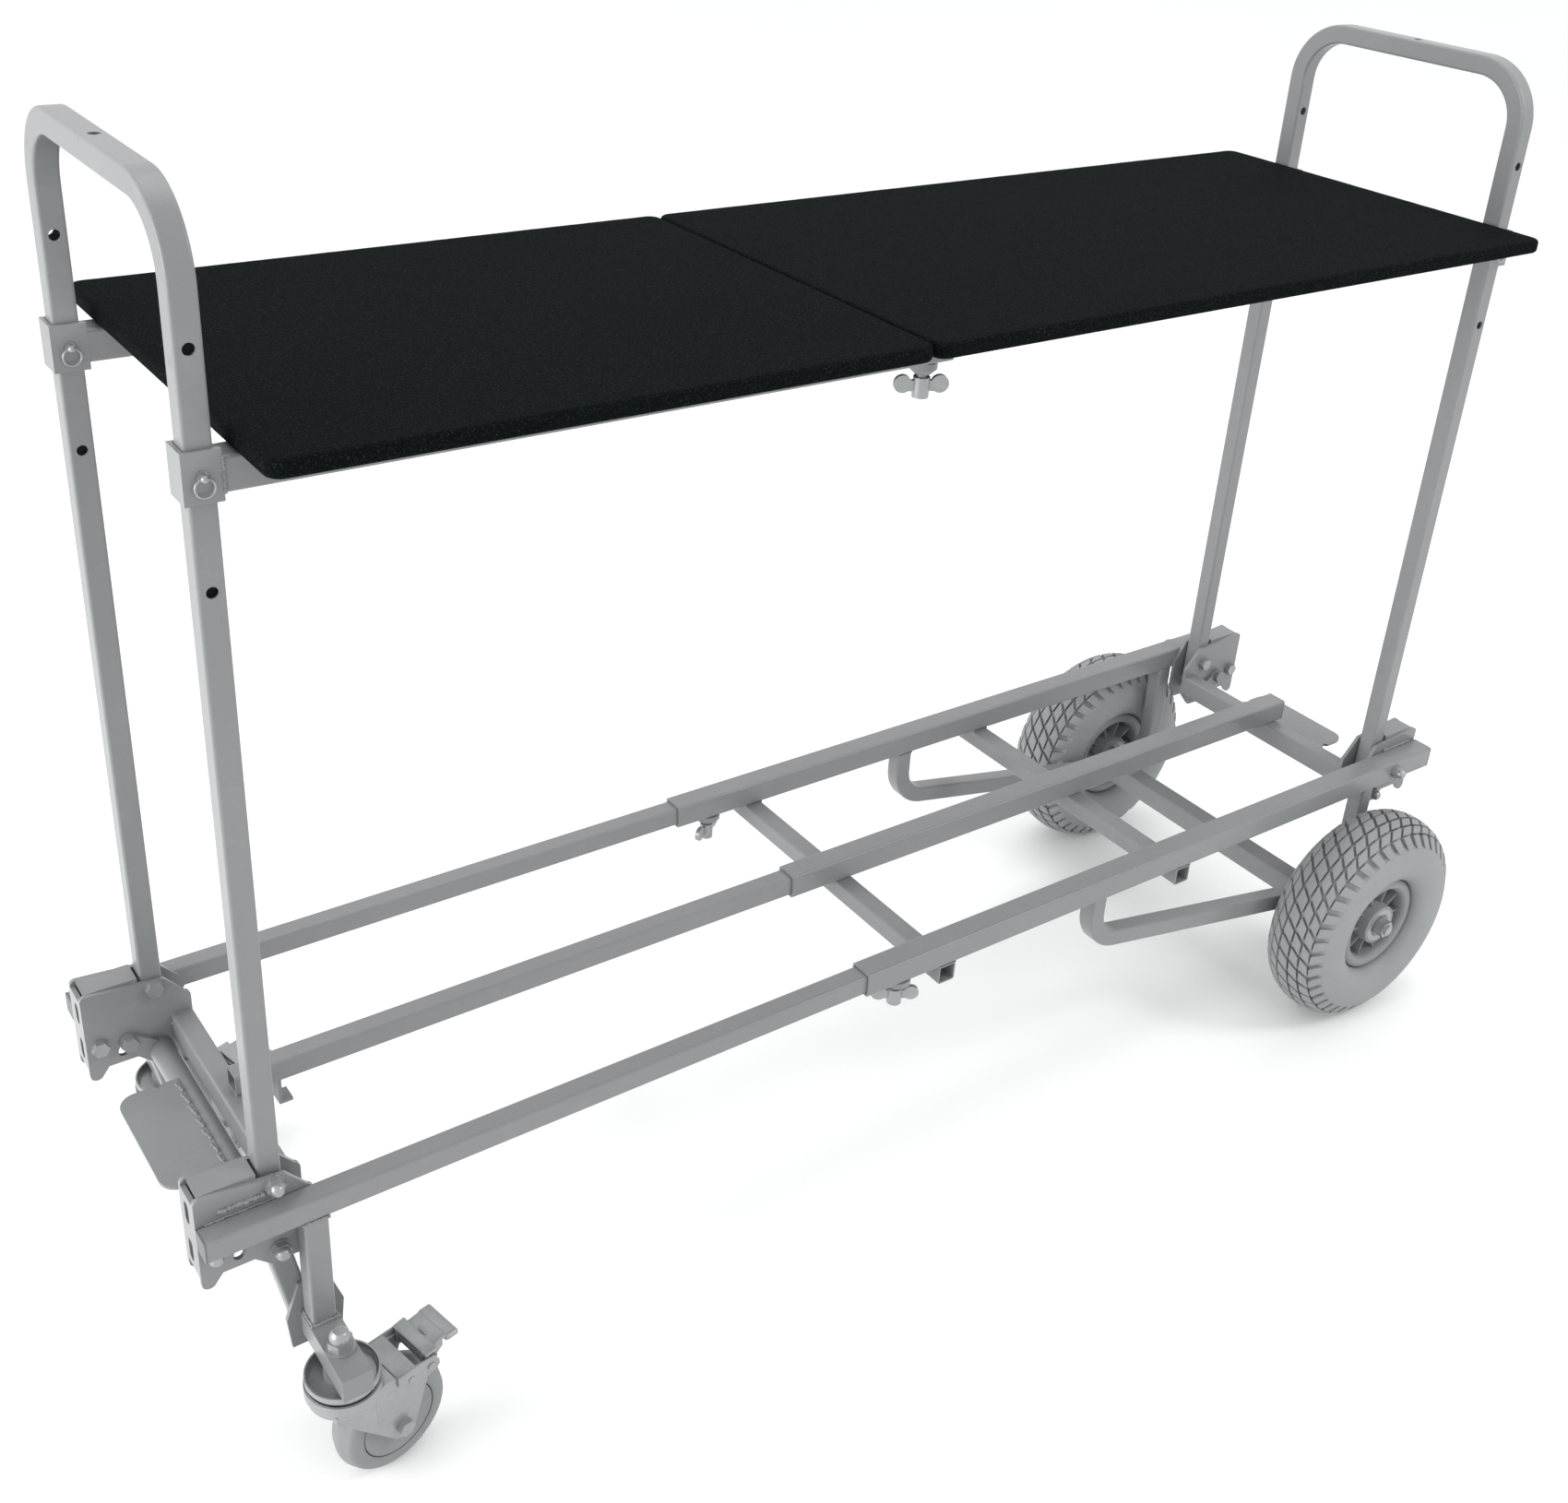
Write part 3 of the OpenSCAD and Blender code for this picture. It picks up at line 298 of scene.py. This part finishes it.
def pale_floor(name):
    finish = Finish(name, {"Roughness": 0.85, "IOR": 1.3})
    cloud = finish.noise(0.6, 2.0)
    finish.wire_up(colour=finish.blend(cloud, (0.9, 0.9, 0.9), (0.93, 0.93, 0.93)))
    return finish.material


PAINT = powder_coat("powder_coat", POWDER_COAT)
ZINC_PLATE = zinc_plate("zinc_plate", ZINC)
TYRE_RUBBER = rubber("tyre_rubber", TYRE_GREY, 0.25)
CASTER_RUBBER = rubber("caster_rubber", CASTER_GREY, 0.12)
RIM_PLASTIC = moulded_plastic("rim_plastic", RIM_GREY)
CASTER_CORE = moulded_plastic("caster_core", CASTER_GREY)
BLACK_PLASTIC = moulded_plastic("plug_plastic", PLUG_GREY)
CARPET = carpet("carpet", CARPET_BLACK)
PALE_FLOOR = pale_floor("pale_floor")

SLOT_FINISHES = {
    "frame_paint": PAINT, "zinc_steel": ZINC_PLATE, "carpet": CARPET,
    "tyre_rubber": TYRE_RUBBER, "caster_rubber": CASTER_RUBBER,
    "rim_plastic": RIM_PLASTIC, "black_plastic": BLACK_PLASTIC,
}


def finish_cad_nodes():
    """Every carried-over node takes the finish of its slot in the record."""
    for part in frame["record"]["subparts"]:
        node = frame["nodes"][part["node"]]
        node.data.materials.clear()
        node.data.materials.append(SLOT_FINISHES[part["material_slot"]])


# ---- mesh helpers ----------------------------------------------------


def new_object(name, bm, material, smooth_angle=None):
    mesh = bpy.data.meshes.new(name)
    if smooth_angle is not None:
        for face in bm.faces:
            face.smooth = True
        for edge in bm.edges:
            if len(edge.link_faces) == 2:
                edge.smooth = edge.calc_face_angle(0) < math.radians(smooth_angle)
    bm.to_mesh(mesh)
    bm.free()
    mesh.materials.append(material)
    piece = bpy.data.objects.new(name, mesh)
    bpy.context.collection.objects.link(piece)
    return piece


def centre(node):
    low, high = (Vector(corner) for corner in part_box(node))
    return (low + high) / 2


def mm(*lengths):
    return tuple(length * MM for length in lengths)


def mirrored(outline):
    """The other half of an outline of (radius, height) points."""
    return [(radius, -height) for radius, height in reversed(outline)]


def spin_profile(bm, points, steps):
    """Turns an outline of (radius, height) points into a full ring about Z."""
    verts = [bm.verts.new((radius, 0, height)) for radius, height in points]
    edges = [bm.edges.new(pair) for pair in zip(verts, verts[1:] + verts[:1])]
    bmesh.ops.spin(
        bm, geom=verts + edges, cent=(0, 0, 0), axis=(0, 0, 1), dvec=(0, 0, 0),
        angle=math.tau, steps=steps, use_merge=True, use_duplicate=False)
    bmesh.ops.remove_doubles(bm, verts=bm.verts, dist=1e-6)
    bmesh.ops.recalc_face_normals(bm, faces=bm.faces)


def lay_on_axle(bm, place):
    """Turns a ring that is drawn about Z onto an axle along Y."""
    bmesh.ops.rotate(
        bm, verts=bm.verts, cent=(0, 0, 0), matrix=Matrix.Rotation(math.pi / 2, 3, "X"))
    bmesh.ops.translate(bm, vec=place, verts=bm.verts)


def round_edges(bm, edges, offset, segments=2):
    """Rounds the edges over and returns the vertices of the bevel."""
    return bmesh.ops.bevel(
        bm, geom=edges, offset=offset, segments=segments, profile=0.5,
        affect="EDGES", material=-1)["verts"]


def edges_of(verts):
    return list(dict.fromkeys(edge for vert in verts for edge in vert.link_edges))


def add_cube(bm, size, place, bevel=0.0, segments=2, turn=None):
    """Adds a box with rounded edges and returns its vertices."""
    made = bmesh.ops.create_cube(bm, size=1.0)["verts"]
    bmesh.ops.scale(bm, vec=size, verts=made)
    if bevel:
        made = round_edges(bm, edges_of(made), bevel, segments)
    if turn is not None:
        bmesh.ops.rotate(bm, verts=made, cent=(0, 0, 0), matrix=turn)
    bmesh.ops.translate(bm, vec=place, verts=made)
    return made


def add_plate(bm, outline, low, high, bevel):
    """A flat plate with an (x, z) outline, from y = low to y = high."""
    verts = [bm.verts.new((x, low, z)) for x, z in outline]
    made = bmesh.ops.contextual_create(bm, geom=verts)["faces"]
    made = bmesh.ops.extrude_face_region(bm, geom=made)["geom"]
    lifted = [item for item in made if isinstance(item, bmesh.types.BMVert)]
    bmesh.ops.translate(bm, vec=(0, high - low, 0), verts=lifted)
    round_edges(bm, edges_of(verts + lifted), bevel)


def add_ball(bm, size, place):
    """A small ball, squashed to the given size along each axis."""
    made = bmesh.ops.create_icosphere(bm, subdivisions=2, radius=0.5)["verts"]
    bmesh.ops.scale(bm, vec=size, verts=made)
    bmesh.ops.translate(bm, vec=place, verts=made)


def add_rod(bm, radius, start, end, steps=20):
    """A round bar between two points, with its ends closed."""
    start, end = Vector(start), Vector(end)
    made = bmesh.ops.create_cone(
        bm, cap_ends=True, segments=steps, radius1=radius, radius2=radius,
        depth=(end - start).length)["verts"]
    turn = (end - start).to_track_quat("Z", "Y").to_matrix()
    bmesh.ops.rotate(bm, verts=made, cent=(0, 0, 0), matrix=turn)
    bmesh.ops.translate(bm, vec=(start + end) / 2, verts=made)


def add_weld(bm, start, end, width, rng):
    """Overlapping beads of uneven size along a line; all in millimetres."""
    start, end, width = Vector(mm(*start)), Vector(mm(*end)), width * MM
    count = max(3, int((end - start).length / (width * 0.36)))
    for i in range(count):
        size = width * rng.uniform(0.8, 1.15)
        drift = Vector([rng.uniform(-0.12, 0.12) * width for _ in range(3)])
        add_ball(bm, (size, size, size), start.lerp(end, i / (count - 1)) + drift)


def settle(bm, name, material, body, node=None, angle=SMOOTH_ANGLE):
    """Turns a finished mesh into a piece that rides with its body."""
    bmesh.ops.recalc_face_normals(bm, faces=bm.faces)
    piece = new_object(name, bm, material, angle)
    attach(piece, body)
    if node:
        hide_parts(node)


# ---- shelf -----------------------------------------------------------


def climb(edge):
    return abs(edge.verts[0].co.z - edge.verts[1].co.z)


def carpeted_panel(name, node, body):
    """A board wrapped in short pile: soft rounded rim, slightly uneven face."""
    low, high = (Vector(corner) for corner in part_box(node))
    size = high - low
    corner_r = 12 * MM
    edge_r = 4 * MM
    step = 8 * MM
    deepest = 0.5 * MM
    bm = bmesh.new()
    bmesh.ops.create_cube(bm, size=1.0)
    bmesh.ops.scale(bm, vec=size, verts=bm.verts)
    bmesh.ops.translate(bm, vec=(low + high) / 2, verts=bm.verts)
    upright = [edge for edge in bm.edges if climb(edge) > size.z / 2]
    round_edges(bm, upright, corner_r, 8)
    rim = [edge for edge in bm.edges if climb(edge) < 1e-6]
    round_edges(bm, rim, edge_r, 5)
    for axis in (0, 1):
        count = int(size[axis] / step)
        normal = Vector((1, 0, 0)) if axis == 0 else Vector((0, 1, 0))
        for i in range(1, count):
            cut = low + normal * (size[axis] * i / count)
            bmesh.ops.bisect_plane(
                bm, geom=list(bm.verts) + list(bm.edges) + list(bm.faces),
                dist=1e-6, plane_co=cut, plane_no=normal)
    bm.normal_update()
    for vert in bm.verts:
        top = (vert.co.z - low.z) / size.z
        wave = noise.noise(vert.co * 11) * 0.5 + noise.noise(vert.co * 160) * 0.5
        sink = (0.5 + 0.5 * wave) * deepest
        vert.co -= vert.normal * sink * top
    panel = new_object(name, bm, CARPET, 60)
    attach(panel, body)
    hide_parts(node)


# ---- big wheels ------------------------------------------------------

TYRE_R = 127 * MM
TYRE_HALF_W = 42 * MM
SECTION_R = 84 * MM
SQUARENESS = 2.25
BEAD_R = 58.6 * MM
BEAD_W = 26.5 * MM
WALL_BULGE = 0.9
WALL_STEPS = 18
FLOOR_STEPS = 9
PITCHES = 40
BLOCK_H = 4.5 * MM
ROW_STEP = math.radians(16.5)
LUG_START = math.radians(42.5)
SHOULDER = math.radians(66)


def signed_power(value, power):
    return math.copysign(abs(value) ** power, value)


def section(angle, sink=0.0):
    """(across, radius) on the tyre's section; angle 0 is the crown."""
    if abs(angle) > math.pi / 2:
        bulge = abs(math.sin(angle)) ** WALL_BULGE
        across = BEAD_W + (TYRE_HALF_W - BEAD_W) * bulge
        radius = SECTION_R + (SECTION_R - BEAD_R) * math.cos(angle)
        return math.copysign(across, angle), radius
    half_w = TYRE_HALF_W - sink
    rise = TYRE_R - SECTION_R - sink
    across = half_w * signed_power(math.sin(angle), 2 / SQUARENESS)
    radius = SECTION_R + rise * signed_power(math.cos(angle), 2 / SQUARENESS)
    return across, radius


def tyre_outline():
    """The carcass: grooved tread floor, a step at each shoulder, sidewalls."""
    points = []
    for side in (-1, 1):
        wall = []
        for i in range(WALL_STEPS + 1):
            across, radius = section(SHOULDER + (math.pi - SHOULDER) * i / WALL_STEPS)
            wall.append((radius, side * across))
        floor = []
        for i in range(1, FLOOR_STEPS):
            across, radius = section(SHOULDER * i / FLOOR_STEPS * 0.98, BLOCK_H)
            floor.append((radius, side * across))
        bead = [(BEAD_R, side * 23 * MM), (51 * MM, side * 22 * MM)]
        points.append(floor + wall + bead)
    crown = [(section(0, BLOCK_H)[1], 0)]
    return list(reversed(points[0])) + crown + points[1]


def tread_block(bm, mid, half_span, turn, half_turn, skew, bevel):
    """One block, laid on the section between two angles and skewed round it."""
    for vert in add_cube(bm, (1, 1, 1), (0, 0, 0), bevel):
        u, v, h = vert.co
        angle = mid + 2 * half_span * v
        across, radius = section(angle, BLOCK_H * (0.5 - h))
        around = turn + 2 * half_turn * u + skew * v
        vert.co = (radius * math.cos(around), radius * math.sin(around), across)


def tread(bm):
    """Five staggered rows of skewed blocks, then long lugs on each shoulder."""
    pitch = math.tau / PITCHES
    for row in range(-2, 3):
        for i in range(PITCHES):
            turn = (i + 0.5 * (row % 2)) * pitch
            tread_block(
                bm, row * ROW_STEP, ROW_STEP * 0.405, turn, pitch * 0.39, pitch * 0.5,
                0.06)
    for side in (-1, 1):
        for i in range(PITCHES):
            turn = (i + 0.25 * side) * pitch
            tread_block(
                bm, side * (LUG_START + SHOULDER) / 2, (SHOULDER - LUG_START) / 2, turn,
                pitch * 0.315, side * -pitch * 0.22, 0.08)


def big_tyres():
    """Draws the tyre once and puts a copy on each axle."""
    drawn = bmesh.new()
    spin_profile(drawn, tyre_outline(), 160)
    tread(drawn)
    for side in ("near", "far"):
        bm = drawn.copy()
        lay_on_axle(bm, centre("tyre_" + side))
        settle(bm, "block_tyre_" + side, TYRE_RUBBER, "big_wheel_" + side,
               "tyre_" + side)
    drawn.free()


RIM_OUTLINE = (
    (12, 19), (20, 19), (20, 31), (21.4, 31), (23.4, 30.2), (24, 28.6), (24.6, 6),
    (26.5, 3.4), (41, 3.4), (42.8, 5.5), (43.6, 22), (44.4, 26), (46.6, 28.6),
    (50, 29.7), (53.6, 29.3), (56.4, 27.6), (57.2, 25), (56.6, 22), (51, 21.5))
RIM_RIBS = 10


def big_rim(side):
    """A ribbed dish each side of the web, with a wide rounded lip."""
    bm = bmesh.new()
    top = [mm(*point) for point in RIM_OUTLINE]
    spin_profile(bm, top + mirrored(top), 120)
    for i in range(RIM_RIBS):
        turn = Matrix.Rotation(math.tau * i / RIM_RIBS, 3, "Z")
        add_cube(bm, mm(20, 2.2, 43), turn @ Vector(mm(33.6, 0, 0)), 0.5 * MM, 2, turn)
    lay_on_axle(bm, centre("rim_" + side))
    settle(bm, "moulded_rim_" + side, RIM_PLASTIC, "big_wheel_" + side,
           "rim_" + side, 35)


# ---- casters ---------------------------------------------------------

SWIVEL_X = -638
SWIVEL_Y = 205
CASTER_YAW = math.radians(12)
CASTER_AXLE = mm(40, 0, 50.8)
CORE_OUTLINE = [
    (4.2, 15.9), (11, 15.9), (12.2, 15), (14, 13.6), (29, 13.8), (32.6, 14.9),
    (33.6, 14.2), (33.6, 12)]
COVER_OUTLINE = (
    (35.5, 108.6), (35.5, 100), (54, 88.6), (72, 91.5), (76.4, 96), (76, 101),
    (71, 108.6))
CHEEK_OUTLINE = ((62.6, 99), (65, 94.6), (70, 93.8), (84, 106), (84, 111.6), (63, 111.6))
BRAKE_PIVOT_X = 68
BRAKE_PIVOT_Z = 99


def place_at_caster(bm, side):
    """Moves a piece that is drawn trailing from its swivel axis into place."""
    bmesh.ops.rotate(
        bm, verts=bm.verts, cent=(0, 0, 0), matrix=Matrix.Rotation(CASTER_YAW, 3, "Z"))
    across = SWIVEL_Y if side == "far" else -SWIVEL_Y
    bmesh.ops.translate(bm, vec=mm(SWIVEL_X, across, 0), verts=bm.verts)


def caster_ring(outline, side):
    """A ring turned round the caster's axle, from an outline in millimetres."""
    bm = bmesh.new()
    spin_profile(bm, [mm(*point) for point in outline], 96)
    lay_on_axle(bm, CASTER_AXLE)
    place_at_caster(bm, side)
    return bm


def caster_wheel(side):
    """A soft round tread on a flush plastic core with a fine groove between."""
    outline = [(34.4, 12), (34.4, 14.6), (35.2, 15.2)]
    for i in range(9):
        angle = math.radians(90 * i / 8)
        outline.append((38.5 + 9.6 * math.sin(angle), 8.2 + 7.6 * math.cos(angle)))
    outline += [(49.6, 5.5), (50.5, 2.6), (50.8, 0)]
    bm = caster_ring(outline + mirrored(outline[:-1]), side)
    settle(bm, "soft_tread_" + side, CASTER_RUBBER, "caster_wheel_" + side,
           "caster_tyre_" + side, 40)
    bm = caster_ring(CORE_OUTLINE + mirrored(CORE_OUTLINE), side)
    settle(bm, "flush_core_" + side, CASTER_CORE, "caster_wheel_" + side,
           "caster_hub_" + side, 35)


def add_flange(bm, outline, inner, outer):
    """A plate between two distances from the caster's middle, in millimetres."""
    low, high = sorted(mm(inner, outer))
    add_plate(bm, [mm(*point) for point in outline], low, high, 0.5 * MM)


def brake_cover(side):
    """The folded cover over the wheel, its flanges and their rivets."""
    bm = bmesh.new()
    add_cube(bm, mm(19, 48, 2.4), mm(44.6, 0, 107.6), 1.1 * MM, 3)
    for across in (-1, 1):
        add_flange(bm, COVER_OUTLINE, across * 21.6, across * 24)
        add_ball(bm, mm(6.4, 2.6, 6.4), mm(48, across * 24.4, BRAKE_PIVOT_Z))
        add_rod(bm, 3.6 * MM, mm(BRAKE_PIVOT_X, across * 23.6, BRAKE_PIVOT_Z),
                mm(BRAKE_PIVOT_X, across * 25, BRAKE_PIVOT_Z))
        add_cube(bm, mm(32, 1.6, 1.4), mm(51, across * 23, 108.6), 0.6 * MM)
    place_at_caster(bm, side)
    settle(bm, "brake_cover_" + side, ZINC_PLATE, "caster_fork_" + side,
           "brake_housing_" + side)


def brake_lever(side):
    """The pedal's cheeks, cross bar, raised dimple and thick rounded pad."""
    bm = bmesh.new()
    for across in (-1, 1):
        add_flange(bm, CHEEK_OUTLINE, across * 15.8, across * 18.1)
    add_rod(bm, 2.8 * MM, mm(BRAKE_PIVOT_X, -24.5, BRAKE_PIVOT_Z),
            mm(BRAKE_PIVOT_X, 24.5, BRAKE_PIVOT_Z))
    tilt = Matrix.Rotation(math.radians(-7), 3, "Y")
    add_cube(bm, mm(12, 45, 2.6), mm(69.5, 0, 111.4), 1 * MM, 3, tilt)
    add_cube(bm, mm(16, 36, 2.4), mm(80, 0, 112), 1 * MM, 3, tilt)
    add_cube(bm, mm(13, 40, 5.6), mm(93, 0, 111), 2.4 * MM, 4)
    add_ball(bm, mm(5, 13, 3), mm(78, 0, 113.2))
    place_at_caster(bm, side)
    settle(bm, "brake_lever_" + side, ZINC_PLATE, "caster_brake_" + side,
           "brake_pedal_" + side)


def fork_ridges(side):
    """The upright ridge pressed in each fork plate."""
    bm = bmesh.new()
    lean = Matrix.Rotation(math.radians(-4), 3, "Y")
    for across in (-1, 1):
        add_cube(bm, mm(3.4, 3, 26), mm(17, across * 20.8, 82), 1.3 * MM, 3, lean)
    place_at_caster(bm, side)
    settle(bm, "fork_ridges_" + side, ZINC_PLATE, "caster_fork_" + side)


# ---- welds -----------------------------------------------------------

WELD_SMOOTH_ANGLE = 60


def settle_welds(bm, name, body):
    settle(bm, name, PAINT, body, None, WELD_SMOOTH_ANGLE)


def caster_end_welds():
    """Beads at the end brackets, the cross member, the legs and the stubs."""
    rng = random.Random(11)
    bm = bmesh.new()
    rail_under = 263.6
    stub_top = 155.6
    for side in (-1, 1):
        plate = side * 155
        add_weld(bm, (-705, plate, 292), (-668, plate, 292), 4.4, rng)
        for z in (284.5, 264.5):
            add_weld(bm, (-716, plate, z), (-660, plate, z), 2.2, rng)
        for x in (-648, -628):
            add_weld(
                bm, (x, side * 156, rail_under), (x, side * 173, rail_under), 2.6, rng)
        front = side * 174.6
        add_weld(bm, (-648, front, rail_under), (-628, front, rail_under), 3, rng)
        add_weld(bm, (-649, side * 175, stub_top), (-627, side * 175, stub_top), 3.2, rng)
        for x in (-648.6, -627.4):
            add_weld(bm, (x, side * 156, stub_top), (x, side * 174, stub_top), 2.6, rng)
        add_weld(bm, (-650, side * 122, 254), (-631, side * 122, 254), 3.4, rng)
        arm = side * 150
        add_weld(bm, (-648.6, arm, 864), (-648.6, arm, 888), 2.4, rng)
    settle_welds(bm, "caster_end_welds", "caster_frame")


def wheel_end_welds():
    """Beads where bars, loops and brackets meet the outer rails."""
    rng = random.Random(23)
    bm = bmesh.new()
    rail_under = 261
    for side in (-1, 1):
        for x in (-17, 3, 306, 326):
            add_weld(
                bm, (x, side * 153, rail_under), (x, side * 176, rail_under), 2.4, rng)
        for x in (194, 213):
            add_weld(
                bm, (x, side * 154, rail_under), (x, side * 169, rail_under), 2.6, rng)
        add_weld(
            bm, (194, side * 171, rail_under), (213, side * 171, rail_under), 3, rng)
        plate = side * 152.6
        add_weld(bm, (668, plate, 287.5), (712, plate, 287.5), 3.6, rng)
        arm = side * 150
        add_weld(bm, (648.8, arm, 866), (648.8, arm, 884), 2.4, rng)
    settle_welds(bm, "wheel_end_welds", "base_frame")


def pedal_welds(end, side):
    """The run of beads between a pedal's plate and its tube."""
    rng = random.Random(31)
    bm = bmesh.new()
    pitch = 17
    for i in range(-3, 4):
        across = i * pitch
        add_weld(
            bm, (side * 668.5, across - 6, 243), (side * 670.5, across + 6, 242.6), 3.2,
            rng)
    settle_welds(bm, end + "_pedal_welds", end + "_pedal")


# ---- the cart --------------------------------------------------------


def build():
    finish_cad_nodes()
    carpeted_panel("carpeted_panel_short", "shelf_panel_short", "short_shelf")
    carpeted_panel("carpeted_panel_long", "shelf_panel_long", "base_frame")
    big_tyres()
    for side in ("near", "far"):
        big_rim(side)
        caster_wheel(side)
        brake_cover(side)
        brake_lever(side)
        fork_ridges(side)
    caster_end_welds()
    wheel_end_welds()
    pedal_welds("caster_end", -1)
    pedal_welds("wheel_end", 1)


add_camera()
add_studio()
build()
